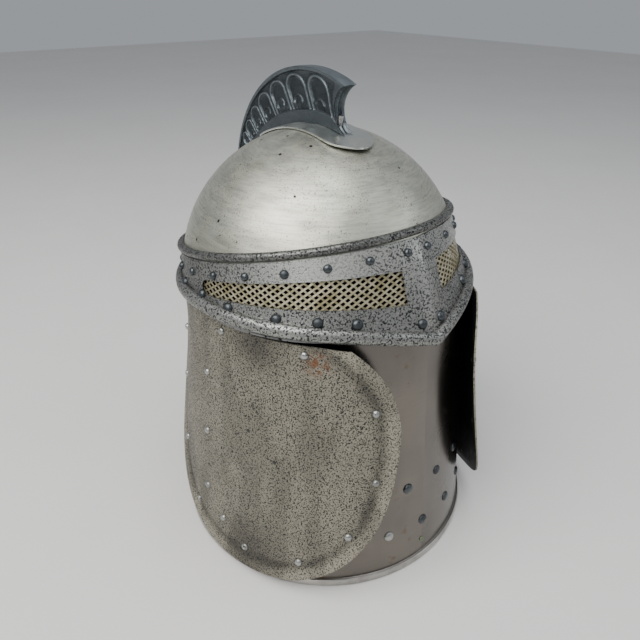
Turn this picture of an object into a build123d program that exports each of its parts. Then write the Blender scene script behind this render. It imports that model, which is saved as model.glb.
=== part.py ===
from build123d import *
import os
from math import atan2, cos, degrees, radians, sin, sqrt

# Great helm in sheet metal, life size.  Millimetres, +Z up.
# The origin is the middle of the base rim, on the surface that the helm stands on.
# The visor looks along -Y.  An azimuth is measured about Z from -Y, and grows towards +X.

# ---------------------------------------------------------------- driving dimensions
sheet = 1.2                 # sheet thickness of body, skull and cheek plates
gap = 0.3                   # clearance between pieces that do not touch

body_base_radius = 124.5    # outside radius of the body where it meets the surface
body_taper = 0.0885         # radius lost per millimetre of height
body_top = 214.0            # height of the open mouth of the body
body_turn = 8.0             # the breath rivets are centred this far round from the visor's nose

rim_height = 7.5            # rolled channel around the foot of the body
rim_wall = 1.9

skull_radius = 106.5        # outside of the domed skull
skull_centre = (0, 10.0, 219.0)
brow_height = 254.0         # height of the brow line above the skull centre
brow_slope = 0.225          # the brow line rises towards the face at this slope
skull_below_brow = 16.0     # how far the skull carries on down behind the visor

visor_sheet = 1.4
visor_foot_height = 198.0   # level where the skirt of the visor is laid out
visor_foot_half_width = 115.6
visor_foot_half_depth = 110.2
visor_foot_centre = -3.1
visor_stand_off = 4.0       # visor stands this far off the skull at the brow
nose_height = 206.0         # lower edge of the visor at the nose, at the side, at the back
side_height = 222.5
back_height = 214.0
side_half_width = 112.0
lip_height = 8.5            # rolled lower lip
lip_out = 4.4
lip_in = 2.2
lip_clearance = 0.8         # the lip stays this far off the body when the skull is seated
brow_roll_radius = 3.6

slot_azimuth = 50.0         # the eye slots are cut along this azimuth on each side
mesh_thickness = 0.8
mesh_margin = 5.0

rivet_head = 3.9            # radius and height of a domed head, radius of a shank
rivet_rise = 2.6
rivet_shank = 1.5
rivet_tail = 2.5            # radius and height of the spread tail
rivet_tail_height = 1.0
hole_gap = 0.1

rim_screw_head = 2.4        # small screw above the rim, left of the face's middle
rim_screw_rise = 1.6
rim_screw_shank = 1.0
rim_screw_nut = 1.8

seat_inner = 99.6           # seat ring that hangs in the mouth of the body
seat_outer = 109.7
seat_depth = 9.0
seat_wall = 1.3
seat_upturn = 8.6

plate_middle = 73.2         # azimuth of the middle of a cheek plate
plate_contact = 89.0        # azimuth where a cheek plate lies against the body
plate_stand = 43.0          # the plate is bent to this much larger a radius at height 0
plate_stand_fall = 0.12     # and to this much less for each millimetre of height
plate_half_width = 112.0
plate_half_height = 113.0
plate_squareness = 2.56     # exponent of the rounded outline; 2 would be an ellipse
plate_shift = -3.0          # the outline sits this far towards the face
plate_centre_height = 120.6
plate_top = 213.7
plate_border = 9.0          # width and rise of the raised border
plate_border_rise = 3.0
plate_rivets = (            # places as (distance towards the face, height)
    (-18.5, 206.5), (47, 207.5), (91.4, 167), (97.5, 111.7), (85.7, 64), (53, 32), (5, 23),
    (-58, 27), (-88, 66), (-100, 118), (-92, 168),
)
plate_mount_rivets = ((-37.4, 164.8), (-39.7, 111), (-40.6, 56.4), (-19.4, 37.7))

saddle_half_width = 19.5
saddle_front = -36.5
saddle_back = 74.0
saddle_gap = 1.2
saddle_thickness = 1.3

crest_half_thickness = 6.0
crest_recess = 2.0          # depth of the sunk panel on each side
crest_beak = (-19.2, 357.1)         # Y, Z points of the comb's outline, from its front tip
crest_crown = (60.0, 357.0)         # back over the top to its tail, then under the skull's skin
crest_tail_bend = (116.5, 292.0)
crest_tail_back = (121.0, 270.0)
crest_tail_tip = (117.0, 247.0)
crest_root_back = (90.0, 240.0)
crest_root_front = (-20.0, 300.0)
crest_foot = (-22.8, 323.5)
crest_waist = (-9.5, 346.5)
crest_panel = (                     # Y, Z points of the sunk panel's outline
    (-4, 336), (1, 352), (15, 361), (42, 357), (72, 344), (94, 324), (108, 292),
    (101, 286), (84, 306), (60, 324), (30, 334), (4, 337),
)
crest_screw_angles = (-10.0, 26.0)  # lean of each screw from the vertical
crest_screw_shank = 2.0
crest_screw_depth = 13.0    # length of each screw above the skull
crest_screw_head = 4.0
crest_screw_head_height = 2.2
washer_radius = 6.0
washer_thickness = 0.8

# ---------------------------------------------------------------- shared geometry
tilt = degrees(atan2(brow_slope, 1))
skull_axis = Vector(0, sin(radians(tilt)), cos(radians(tilt)))
brow_offset = (brow_height - skull_centre[2]) * cos(radians(tilt))
brow_radius = sqrt(skull_radius**2 - brow_offset**2)


def direction(azimuth):
    """Level unit vector that points outwards at an azimuth."""
    return Vector(sin(radians(azimuth)), -cos(radians(azimuth)), 0)


def facing(azimuth):
    """Upright plane through the origin that looks outwards at an azimuth; its local Y is up."""
    along = Vector(cos(radians(azimuth)), sin(radians(azimuth)), 0)
    return Plane(origin=(0, 0, 0), x_dir=along, z_dir=direction(azimuth))


def body_radius(height):
    return body_base_radius - body_taper * height


def brow_plane(along_axis):
    """Plane square to the skull's leaning axis, at a distance from the skull's centre."""
    origin = Vector(*skull_centre) + skull_axis * along_axis
    return Plane(origin=origin, x_dir=(1, 0, 0), z_dir=skull_axis)


def cone_wall(foot_radius, thickness, low, high):
    """Straight tapering wall between two heights, outside radius foot_radius at height 0."""
    outer_low = foot_radius - body_taper * low
    outer_high = foot_radius - body_taper * high
    with BuildPart() as wall:
        with BuildSketch(Plane.XZ):
            with BuildLine():
                Polyline(
                    (outer_low - thickness, low),
                    (outer_low, low),
                    (outer_high, high),
                    (outer_high - thickness, high),
                    close=True,
                )
            make_face()
        revolve(axis=Axis.Z)
    return wall.part


def visor_block(grow):
    """Solid inside of the visor's skirt, grown outwards by grow."""
    with BuildPart() as block:
        with BuildSketch(Plane.XY.offset(visor_foot_height)):
            with Locations((0, visor_foot_centre)):
                Ellipse(visor_foot_half_width + grow, visor_foot_half_depth + grow)
        with BuildSketch(brow_plane(brow_offset - brow_roll_radius)):
            Circle(brow_radius + visor_stand_off + grow)
        loft(ruled=True)
    return block.part


def lip_block(low, high):
    """Everything between two lifts of the visor's lower edge: curved in front, straight behind."""
    reach = side_half_width + 20
    middle = nose_height + 0.75 * (side_height - nose_height)
    with BuildPart() as block:
        with BuildSketch(Plane.XZ):
            for side in (-1, 1):
                with BuildLine():
                    for rise in (low, high):
                        hip = (side * side_half_width, side_height + rise)
                        halfway = (side * side_half_width / 2, middle + rise)
                        ThreePointArc((0, nose_height + rise), halfway, hip)
                        Line(hip, (side * reach, side_height + rise))
                    Line((side * reach, side_height + low), (side * reach, side_height + high))
                    Line((0, nose_height + low), (0, nose_height + high))
                make_face()
        extrude(amount=reach)
        with BuildSketch(Plane.YZ):
            with BuildLine():
                Polyline(
                    (0, side_height + low),
                    (reach, back_height + low),
                    (reach, back_height + high),
                    (0, side_height + high),
                    close=True,
                )
            make_face()
        extrude(amount=reach, both=True)
    return block.part


def ball(radius):
    """Solid ball about the centre of the skull."""
    with BuildPart() as block:
        with Locations(skull_centre):
            Sphere(radius)
    return block.part


def slot_cutter(side, margin):
    """Bar with the outline of one eye slot, grown by margin, along the slot's azimuth."""
    nose_top, nose_foot = (side * -60.0, 254.3), (side * -66.0, 232.2)
    back_foot, back_top = (side * 69.0, 229.6), (side * 71.0, 239.2)
    with BuildPart() as cutter:
        with BuildSketch(facing(side * slot_azimuth)):
            with BuildLine():
                Line(nose_top, nose_foot)
                ThreePointArc(nose_foot, (0, 235.0), back_foot)
                ThreePointArc(back_foot, (side * 74.5, 234.0), back_top)
                ThreePointArc(back_top, (side * 2.0, 251.9), nose_top)
            make_face()
            if margin:
                offset(amount=margin)
        extrude(amount=200)
    return cutter.part


def rivet(grip, head=rivet_head, rise=rivet_rise, shank=rivet_shank, tail=rivet_tail):
    """One rivet along local Z: its domed head stands on the plane and its tail lies below."""
    end = -grip - rivet_tail_height
    cap_radius = (head**2 + rise**2) / (2 * rise)
    with BuildPart() as one:
        with BuildSketch(Plane.XZ):
            with BuildLine():
                Polyline(
                    (0, rise), (0, end), (tail, end), (tail, -grip), (shank, -grip), (shank, 0), (head, 0)
                )
                RadiusArc((head, 0), (0, rise), -cap_radius)
            make_face()
        revolve(axis=Axis.Z)
    return one.part


def holes(planes, radius=rivet_shank + hole_gap):
    """Pins that cut a shank hole on each plane."""
    with BuildPart() as pins:
        with BuildSketch(*planes):
            Circle(radius)
        extrude(amount=12, both=True)
    return pins.part


def place(piece, planes):
    """Set one copy of a piece on each plane, as separate solids of one node."""
    with BuildPart() as group:
        with Locations(*planes):
            add(piece)
    return group


def finish(part, name):
    """Label a piece and write it to its own file."""
    part.label = name
    export_step(part, f"parts/{name}.step")


def plate_block(side, grow):
    """Solid inside of a cheek plate's bent sheet, grown outwards by grow."""
    with BuildPart() as block:
        for height in (0, plate_top):
            centre = plate_centre(side, height)
            with BuildSketch(Plane.XY.offset(height)):
                with Locations((centre.X, centre.Y)):
                    Circle(plate_radius(height) + grow)
        loft(ruled=True)
    return block.part


def plate_cutter(side, inset):
    """Bar with the rounded outline of a cheek plate, made smaller by inset."""
    wide, tall = plate_half_width - inset, plate_half_height - inset
    points = []
    for step in range(32):
        turn = radians(360 / 32 * step)
        reach = (abs(cos(turn)) ** plate_squareness + abs(sin(turn)) ** plate_squareness) ** (
            -1 / plate_squareness
        )
        forward = plate_shift + wide * reach * cos(turn)
        points.append((-side * forward, plate_centre_height + tall * reach * sin(turn)))
    with BuildPart() as cutter:
        with BuildSketch(facing(side * plate_middle)):
            with BuildLine():
                Spline(*points, periodic=True)
            make_face()
        extrude(amount=220)
    return cutter.part


def plate_border_ring(side):
    """Border of a cheek plate, raised around its edge."""
    with BuildPart() as ring:
        add(plate_block(side, sheet + plate_border_rise))
        add(plate_block(side, sheet / 2), mode=Mode.SUBTRACT)
        add(plate_cutter(side, 0), mode=Mode.INTERSECT)
        add(plate_cutter(side, plate_border), mode=Mode.SUBTRACT)
    return ring.part


# ---------------------------------------------------------------- places of the rivets
def on_body(azimuth, height, lift=0.0):
    """Plane that lies on the body's outside, square to its wall."""
    out = direction(azimuth + body_turn)
    at = out * (body_radius(height) + lift) + Vector(0, 0, height)
    return Plane(origin=at, z_dir=out + Vector(0, 0, body_taper))


def plate_centre(side, height):
    """Centre of the circle to which a cheek plate is bent at a height."""
    return direction(side * plate_contact) * (plate_stand_fall * height - plate_stand)


def plate_radius(height):
    """Radius of the inside of a cheek plate about its own centre."""
    return body_radius(height) + plate_stand - plate_stand_fall * height + gap


def on_plate(side, forward, height):
    """Plane on the outside of a cheek plate, found along the plate's own facing plane."""
    out = direction(side * plate_middle)
    along = facing(side * plate_middle).x_dir
    centre = plate_centre(side, height)
    radius = plate_radius(height) + sheet
    across = -side * forward
    sideways = across - centre.dot(along)
    at = along * across + out * (centre.dot(out) + sqrt(radius**2 - sideways**2))
    spoke = (at - centre) / radius
    lean = plate_stand_fall * (1 - spoke.dot(direction(side * plate_contact)))
    return Plane(origin=at + Vector(0, 0, height), z_dir=spoke + Vector(0, 0, body_taper + lean))


def on_visor(azimuth, share):
    """Plane on the visor's outside; share runs from 0 at the lower edge to 1 at the brow."""

    def point(turn, part):
        x = visor_foot_half_width * sin(turn)
        y = visor_foot_centre - visor_foot_half_depth * cos(turn)
        foot = Vector(x, y, visor_foot_height)
        ring = brow_radius + visor_stand_off
        brow = brow_plane(brow_offset - brow_roll_radius)
        top = brow.from_local_coords(Vector(ring * sin(turn), -ring * cos(turn), 0))
        return foot + (top - foot) * part

    turn = radians(azimuth)
    edge = point(turn, 0.25)
    if edge.Y < 0:
        run = min(1, abs(edge.X) / side_half_width)
        edge_height = nose_height + (side_height - nose_height) * (1 - (1 - run) ** 2)
    else:
        edge_height = side_height - (side_height - back_height) * edge.Y / side_half_width
    foot, top = point(turn, 0), point(turn, 1)
    low = (edge_height - foot.Z) / (top.Z - foot.Z)
    part = low + (1 - low) * share
    at = point(turn, part)
    across = point(turn + 0.01, part) - point(turn - 0.01, part)
    return Plane(origin=at, z_dir=across.cross(top - foot))


breath_spots = [on_body(azimuth, 80) for azimuth in (-16, 0, 16)]
breath_spots += [on_body(azimuth, 40) for azimuth in (-24, -8, 8, 24)]
rim_screw_spot = [on_body(-8, 18.5)]



def plate_rivet_planes(side):
    return [on_plate(side, forward, height) for forward, height in plate_rivets]


def mount_rivet_planes(side):
    return [on_plate(side, forward, height) for forward, height in plate_mount_rivets]


upper_rivet_spots = [
    on_visor(side * (5 + 15 * step), 0.88 - 0.0000235 * (5 + 15 * step) ** 2)
    for side in (-1, 1)
    for step in range(12)
]
lower_rivet_azimuths = (4.6, 28, 41, 55, 74, 88, 104)
lower_rivet_spots = [
    on_visor(side * azimuth, 0.16 if azimuth < 80 else 0.22)
    for side in (-1, 1)
    for azimuth in lower_rivet_azimuths
]


def crest_screw_plane(angle, radius):
    """Plane square to a line that leans back from the skull's centre by angle."""
    lean = Vector(0, sin(radians(angle)), cos(radians(angle)))
    return Plane(origin=Vector(*skull_centre) + lean * radius, x_dir=(1, 0, 0), z_dir=lean)


screw_planes = [crest_screw_plane(angle, skull_radius) for angle in crest_screw_angles]

os.makedirs("parts", exist_ok=True)

# ---------------------------------------------------------------- body
with BuildPart() as body_shell:
    add(cone_wall(body_base_radius, sheet, rim_wall, body_top))
    add(holes(breath_spots), mode=Mode.SUBTRACT)
    add(holes(rim_screw_spot, rim_screw_shank + hole_gap), mode=Mode.SUBTRACT)
    for side in (-1, 1):
        add(holes(mount_rivet_planes(side)), mode=Mode.SUBTRACT)
finish(body_shell.part, "body_shell")

with BuildPart() as base_rim:
    channel = body_base_radius + gap / 2
    add(cone_wall(channel + rim_wall, 2 * rim_wall + sheet + gap, 0, rim_height))
    add(cone_wall(channel, sheet + gap, rim_wall, rim_height), mode=Mode.SUBTRACT)
    fillet(base_rim.edges().filter_by(GeomType.CIRCLE).sort_by(lambda e: e.radius)[-2:], 0.7)
finish(base_rim.part, "base_rim")

breath_rivets = place(rivet(sheet), breath_spots)
finish(breath_rivets.part, "breath_rivets")

rim_screw_shape = rivet(sheet, rim_screw_head, rim_screw_rise, rim_screw_shank, rim_screw_nut)
rim_screw = place(rim_screw_shape, rim_screw_spot)
finish(rim_screw.part, "rim_screw")

# ---------------------------------------------------------------- cheek plates
for side, name in ((-1, "right"), (1, "left")):
    with BuildPart() as cheek_plate:
        add(plate_block(side, sheet))
        add(plate_block(side, 0), mode=Mode.SUBTRACT)
        add(plate_cutter(side, 0), mode=Mode.INTERSECT)
        add(plate_border_ring(side))
        add(holes(plate_rivet_planes(side)), mode=Mode.SUBTRACT)
        add(holes(mount_rivet_planes(side)), mode=Mode.SUBTRACT)
    finish(cheek_plate.part, f"cheek_plate_{name}")

    cheek_rivets = place(rivet(sheet), plate_rivet_planes(side))
    finish(cheek_rivets.part, f"cheek_rivets_{name}")
    mount_grip = 2 * sheet + gap + 0.9
    mount_rivets = place(rivet(mount_grip), mount_rivet_planes(side))
    finish(mount_rivets.part, f"cheek_mount_rivets_{name}")

# ---------------------------------------------------------------- skull
with BuildPart() as skull_dome:
    add(ball(skull_radius))
    add(ball(skull_radius - sheet), mode=Mode.SUBTRACT)
    split(bisect_by=brow_plane(brow_offset - skull_below_brow), keep=Keep.TOP)
    add(holes(upper_rivet_spots), mode=Mode.SUBTRACT)
    add(holes(screw_planes, crest_screw_shank + hole_gap), mode=Mode.SUBTRACT)
finish(skull_dome.part, "skull_dome")

# ---------------------------------------------------------------- visor
with BuildPart() as rolled_lip:
    add(visor_block(lip_out))
    add(visor_block(-lip_in), mode=Mode.SUBTRACT)
    add(lip_block(-lip_height / 2, lip_height / 2), mode=Mode.INTERSECT)
    add(cone_wall(body_base_radius + lip_clearance, 30, 190, body_top + gap), mode=Mode.SUBTRACT)

with BuildPart() as visor_band:
    add(visor_block(0))
    add(visor_block(-visor_sheet), mode=Mode.SUBTRACT)
    add(lip_block(0, 120), mode=Mode.INTERSECT)
    for side in (-1, 1):
        add(slot_cutter(side, 0), mode=Mode.SUBTRACT)
    add(rolled_lip.part)
    add(ball(skull_radius + gap / 2), mode=Mode.SUBTRACT)
finish(visor_band.part, "visor_band")

with BuildPart() as brow_roll:
    with Locations(brow_plane(brow_offset)):
        Torus(brow_radius + brow_roll_radius - 0.6, brow_roll_radius)
    add(ball(skull_radius + gap / 2), mode=Mode.SUBTRACT)
finish(brow_roll.part, "brow_roll")

upper_visor_rivets = place(rivet(2 * sheet + 1.6), upper_rivet_spots)
finish(upper_visor_rivets.part, "upper_visor_rivets")
lower_visor_rivets = place(rivet(visor_sheet), lower_rivet_spots)
finish(lower_visor_rivets.part, "lower_visor_rivets")

for side, name in ((-1, "right"), (1, "left")):
    with BuildPart() as eye_mesh:
        add(visor_block(-visor_sheet - 0.1))
        add(visor_block(-visor_sheet - 0.1 - mesh_thickness), mode=Mode.SUBTRACT)
        add(slot_cutter(side, mesh_margin), mode=Mode.INTERSECT)
        add(lip_block(lip_height / 2 + 0.1, 120), mode=Mode.INTERSECT)
        add(ball(skull_radius + gap / 2), mode=Mode.SUBTRACT)
    finish(eye_mesh.part, f"eye_mesh_{name}")

with BuildPart() as seat_ring:
    flange = body_top + gap
    with BuildSketch(Plane.XZ):
        with BuildLine():
            Polyline(
                (seat_inner, flange - seat_depth),
                (seat_inner + seat_wall, flange - seat_depth),
                (seat_inner + seat_wall, flange),
                (seat_outer, flange),
                (seat_outer, flange + seat_upturn),
                (seat_outer - seat_wall, flange + seat_upturn),
                (seat_outer - seat_wall, flange + seat_wall),
                (seat_inner, flange + seat_wall),
                close=True,
            )
        make_face()
    revolve(axis=Axis.Z)
    add(visor_block(-lip_in - 0.05), mode=Mode.INTERSECT)
    add(holes(upper_rivet_spots, rivet_tail + gap), mode=Mode.SUBTRACT)
finish(seat_ring.part, "seat_ring")

# ---------------------------------------------------------------- crest
with BuildPart() as crest_saddle:
    add(ball(skull_radius + saddle_gap + saddle_thickness))
    add(ball(skull_radius + saddle_gap), mode=Mode.SUBTRACT)
    with BuildSketch(Plane.XY):
        with Locations((0, (saddle_front + saddle_back) / 2)):
            SlotOverall(saddle_back - saddle_front, 2 * saddle_half_width, rotation=90)
    extrude(amount=400, mode=Mode.INTERSECT)
    split(bisect_by=Plane.XY.offset(skull_centre[2]), keep=Keep.TOP)
    add(holes(screw_planes, crest_screw_shank + hole_gap), mode=Mode.SUBTRACT)
finish(crest_saddle.part, "crest_saddle")

with BuildPart() as crest:
    with BuildSketch(Plane.YZ):
        with BuildLine():
            ThreePointArc(crest_beak, crest_crown, crest_tail_bend)
            ThreePointArc(crest_tail_bend, crest_tail_back, crest_tail_tip)
            ThreePointArc(crest_beak, crest_waist, crest_foot)
            Polyline(crest_tail_tip, crest_root_back, crest_root_front, crest_foot)
        make_face()
    extrude(amount=crest_half_thickness, both=True)
    for side in (-1, 1):
        with BuildSketch(Plane.YZ.offset(side * crest_half_thickness)):
            with BuildLine():
                Polyline(*crest_panel, close=True)
            make_face()
        extrude(amount=-side * crest_recess, mode=Mode.SUBTRACT)
    add(ball(skull_radius + saddle_gap + saddle_thickness + 0.1), mode=Mode.SUBTRACT)
    with BuildSketch(*screw_planes):
        Circle(crest_screw_shank + hole_gap)
    extrude(amount=crest_screw_depth + 2, mode=Mode.SUBTRACT)
finish(crest.part, "crest")

under_washer = -sheet - washer_thickness - 0.2
with BuildPart() as screw_shape:
    with BuildSketch(Plane.XZ):
        with BuildLine():
            Polyline(
                (0, crest_screw_depth),
                (crest_screw_shank, crest_screw_depth),
                (crest_screw_shank, under_washer),
                (crest_screw_head, under_washer),
                (crest_screw_head, under_washer - crest_screw_head_height),
                (0, under_washer - crest_screw_head_height),
                close=True,
            )
        make_face()
    revolve(axis=Axis.Z)
crest_screws = place(screw_shape.part, screw_planes)
finish(crest_screws.part, "crest_screws")

with BuildPart() as washer_shape:
    with BuildSketch(Plane.XY.offset(under_washer)):
        Circle(washer_radius)
        Circle(crest_screw_shank + hole_gap, mode=Mode.SUBTRACT)
    extrude(amount=washer_thickness)
crest_washers = place(washer_shape.part, screw_planes)
finish(crest_washers.part, "crest_washers")
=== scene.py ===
import bpy
import random
from math import atan2, cos, degrees, exp, hypot, pi, radians, sin, sqrt
from mathutils import Matrix, Vector, noise


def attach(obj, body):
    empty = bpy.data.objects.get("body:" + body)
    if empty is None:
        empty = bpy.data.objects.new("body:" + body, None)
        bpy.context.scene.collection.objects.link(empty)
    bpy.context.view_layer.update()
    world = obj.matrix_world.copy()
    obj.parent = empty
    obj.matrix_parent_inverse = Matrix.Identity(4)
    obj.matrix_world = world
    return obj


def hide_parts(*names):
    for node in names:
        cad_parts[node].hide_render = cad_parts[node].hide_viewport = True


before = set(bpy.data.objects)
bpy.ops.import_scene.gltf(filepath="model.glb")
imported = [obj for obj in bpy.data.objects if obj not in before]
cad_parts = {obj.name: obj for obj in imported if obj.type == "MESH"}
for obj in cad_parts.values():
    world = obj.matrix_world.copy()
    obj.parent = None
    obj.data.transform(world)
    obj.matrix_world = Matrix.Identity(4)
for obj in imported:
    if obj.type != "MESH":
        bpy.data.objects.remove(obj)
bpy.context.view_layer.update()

# A great helm in sheet metal.  Lengths below are millimetres until mesh() turns them into metres.
MM = 0.001

# ------------------------------------------------------------ driving dimensions
# As in the CAD, except that the cheek plates stop 0.2 mm lower at the top.
BODY_RADIUS = 124.5
BODY_TAPER = 0.0885
BODY_TURN = 8.0
SHEET = 1.2
SKULL_RADIUS = 106.5
SKULL_CENTRE = Vector((0, 10.0, 219.0))
BROW_TILT = atan2(0.225, 1)
BROW_OFFSET = 35.0 * cos(BROW_TILT)
BROW_RADIUS = sqrt(SKULL_RADIUS**2 - BROW_OFFSET**2)
SKULL_AXIS = Vector((0, sin(BROW_TILT), cos(BROW_TILT)))
SKULL_SIDE = Vector((0, cos(BROW_TILT), -sin(BROW_TILT)))
VISOR_FOOT = 198.0
PLATE_MIDDLE, PLATE_CONTACT, PLATE_STAND, PLATE_STAND_FALL = 73.2, 89.0, 43.0, 0.12
PLATE_WIDE, PLATE_TALL, PLATE_SHIFT, PLATE_HIGH, PLATE_TOP = 112.0, 113.0, -3.0, 120.6, 213.5
PLATE_SQUARENESS = 2.56


def direction(azimuth):
    return Vector((sin(radians(azimuth)), -cos(radians(azimuth)), 0))


def smooth(low, high, value):
    part = min(1.0, max(0.0, (value - low) / (high - low)))
    return part * part * (3 - 2 * part)


# ------------------------------------------------------------ mesh helpers
def mesh(name, points, faces, sharp=40):
    """Object from points in millimetres and faces, shaded smooth below the sharp angle."""
    data = bpy.data.meshes.new(name)
    data.from_pydata([tuple(Vector(p) * MM) for p in points], [], faces)
    data.validate()
    data.shade_smooth()
    data.set_sharp_from_angle(angle=radians(sharp))
    obj = bpy.data.objects.new(name, data)
    bpy.context.scene.collection.objects.link(obj)
    return obj


def grid_faces(count_u, count_v, wrap_u=False, wrap_v=False, start=0):
    """Quads over a grid that holds count_u rows of count_v points."""
    faces = []
    for i in range(count_u if wrap_u else count_u - 1):
        for j in range(count_v if wrap_v else count_v - 1):
            a, b = i, (i + 1) % count_u
            c, d = j, (j + 1) % count_v
            faces.append(tuple(start + n for n in (a * count_v + c, b * count_v + c,
                                                   b * count_v + d, a * count_v + d)))
    return faces


def modify(obj, kind, **values):
    """Adds one modifier and applies it at once."""
    modifier = obj.modifiers.new(kind, kind)
    for key, value in values.items():
        setattr(modifier, key, value)
    graph = bpy.context.evaluated_depsgraph_get()
    old = obj.data
    obj.data = bpy.data.meshes.new_from_object(obj.evaluated_get(graph))
    obj.modifiers.clear()
    bpy.data.meshes.remove(old)
    obj.data.name = obj.name
    return obj


def weld(obj):
    return modify(obj, "WELD", merge_threshold=0.00002)


def attribute(obj, name, measure):
    """Stores one number per point; measure gets the point in millimetres."""
    layer = obj.data.attributes.new(name, "FLOAT", "POINT")
    for value, vertex in zip(layer.data, obj.data.vertices):
        value.value = measure(vertex.co / MM)


def tube(path, radius_across, radius_up, sides, ups, wrap=True, turn=0.0):
    """Points and faces of an oval tube along a path; ups gives the section's up direction."""
    points = []
    count = len(path)
    for i, at in enumerate(path):
        ahead = path[(i + 1) % count] if wrap else path[min(i + 1, count - 1)]
        behind = path[i - 1] if wrap else path[max(i - 1, 0)]
        along = (ahead - behind).normalized()
        across = along.cross(ups[i]).normalized()
        up = across.cross(along)
        for k in range(sides):
            angle = 2 * pi * k / sides + turn
            points.append(at + across * radius_across * cos(angle) + up * radius_up * sin(angle))
    return points, grid_faces(count, sides, wrap, True)


def lathe(name, profile, steps=288, wobble=0.0, sharp=40, thick=0.0):
    """Turned piece about Z from (radius, height) pairs, with a slow unevenness of its radius."""
    points = []
    for i in range(steps):
        angle = 2 * pi * i / steps
        for radius, height in profile:
            at = Vector((cos(angle), sin(angle), height * 0.012))
            r = radius + wobble * noise.noise(at * 2.3)
            points.append((r * cos(angle), r * sin(angle), height))
    return mesh(name, points, grid_faces(steps, len(profile), True, False), sharp)


# ------------------------------------------------------------ visor surface
def wrapped(turn):
    return (turn + pi) % (2 * pi) - pi


def visor_raw(turn, part):
    foot = Vector((115.6 * sin(turn), -3.1 - 110.2 * cos(turn), VISOR_FOOT))
    ring = BROW_RADIUS + 4.0
    centre = SKULL_CENTRE + SKULL_AXIS * (BROW_OFFSET - 3.6)
    top = centre + Vector((ring * sin(turn), 0, 0)) - SKULL_SIDE * ring * cos(turn)
    high = smooth(0.12, 0.42, part)
    blunt = 5.0 - 4.0 * high
    fall = exp((blunt - hypot(wrapped(turn) * 112, blunt)) / 13.0)
    keel = (1.4 + 3.1 * high) * fall * (1 - 0.65 * smooth(0.75, 1.0, part))
    return foot + (top - foot) * part - Vector((0, keel, 0))


def edge_height(turn):
    at = visor_raw(turn, 0.25)
    if at.y < 0:
        run = min(1, abs(at.x) / 112.0)
        return 206.0 + 16.5 * (1 - (1 - run) ** 2)
    return 222.5 - 8.5 * at.y / 112.0


def visor_frame(turn, share):
    """Point on the visor, its outward normal and the direction up its face."""
    foot, top = visor_raw(turn, 0), visor_raw(turn, 1)
    low = (edge_height(turn) - foot.z) / (top.z - foot.z)
    part = low + (1 - low) * share
    at = visor_raw(turn, part)
    up = (visor_raw(turn, part + 0.01) - visor_raw(turn, part - 0.01)).normalized()
    across = visor_raw(turn + 0.004, part) - visor_raw(turn - 0.004, part)
    normal = across.cross(up).normalized()
    down = (at - visor_raw(turn, low)).length
    return at + normal * 1.6 * exp(-down / 4.5), normal, up


def visor_at_height(turn, height, inward):
    foot, top = visor_raw(turn, 0), visor_raw(turn, 1)
    part = (height - foot.z) / (top.z - foot.z)
    at = visor_raw(turn, part)
    up = (visor_raw(turn, part + 0.01) - visor_raw(turn, part - 0.01)).normalized()
    across = visor_raw(turn + 0.004, part) - visor_raw(turn - 0.004, part)
    normal = across.cross(up).normalized()
    return at - normal * inward, normal


def three_arc(start, through, end):
    """Arc through three points: a function of the share run along it, and its length."""
    (ax, ay), (bx, by), (cx, cy) = start, through, end
    d = 2 * (ax * (by - cy) + bx * (cy - ay) + cx * (ay - by))
    a2, b2, c2 = ax * ax + ay * ay, bx * bx + by * by, cx * cx + cy * cy
    ux = (a2 * (by - cy) + b2 * (cy - ay) + c2 * (ay - by)) / d
    uy = (a2 * (cx - bx) + b2 * (ax - cx) + c2 * (bx - ax)) / d
    radius = hypot(ax - ux, ay - uy)
    first, mid, last = (atan2(q - uy, p - ux) for p, q in (start, through, end))
    spin = (last - first) % (2 * pi)
    if (mid - first) % (2 * pi) > spin:
        spin -= 2 * pi

    def at(part):
        return ux + radius * cos(first + spin * part), uy + radius * sin(first + spin * part)

    return at, abs(spin) * radius


def slot_outline(side):
    """Outline of one eye slot on the upright plane that faces azimuth 50, as (across, height)."""
    line = []
    for start, through, end, steps in (
        ((-66, 232.2), (0, 235), (69, 229.6), 40),
        ((69, 229.6), (74.5, 234), (71, 239.2), 12),
        ((71, 239.2), (2, 251.9), (-60, 254.3), 40),
    ):
        curve, _ = three_arc(start, through, end)
        line += [curve(k / steps) for k in range(steps)]
    line.append((-60, 254.3))
    return [(side * x, z) for x, z in line]


def inside(outline, x, z):
    hit = False
    for (ax, az), (bx, bz) in zip(outline, outline[1:] + outline[:1]):
        if (az > z) != (bz > z) and x < ax + (z - az) / (bz - az) * (bx - ax):
            hit = not hit
    return hit


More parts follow.
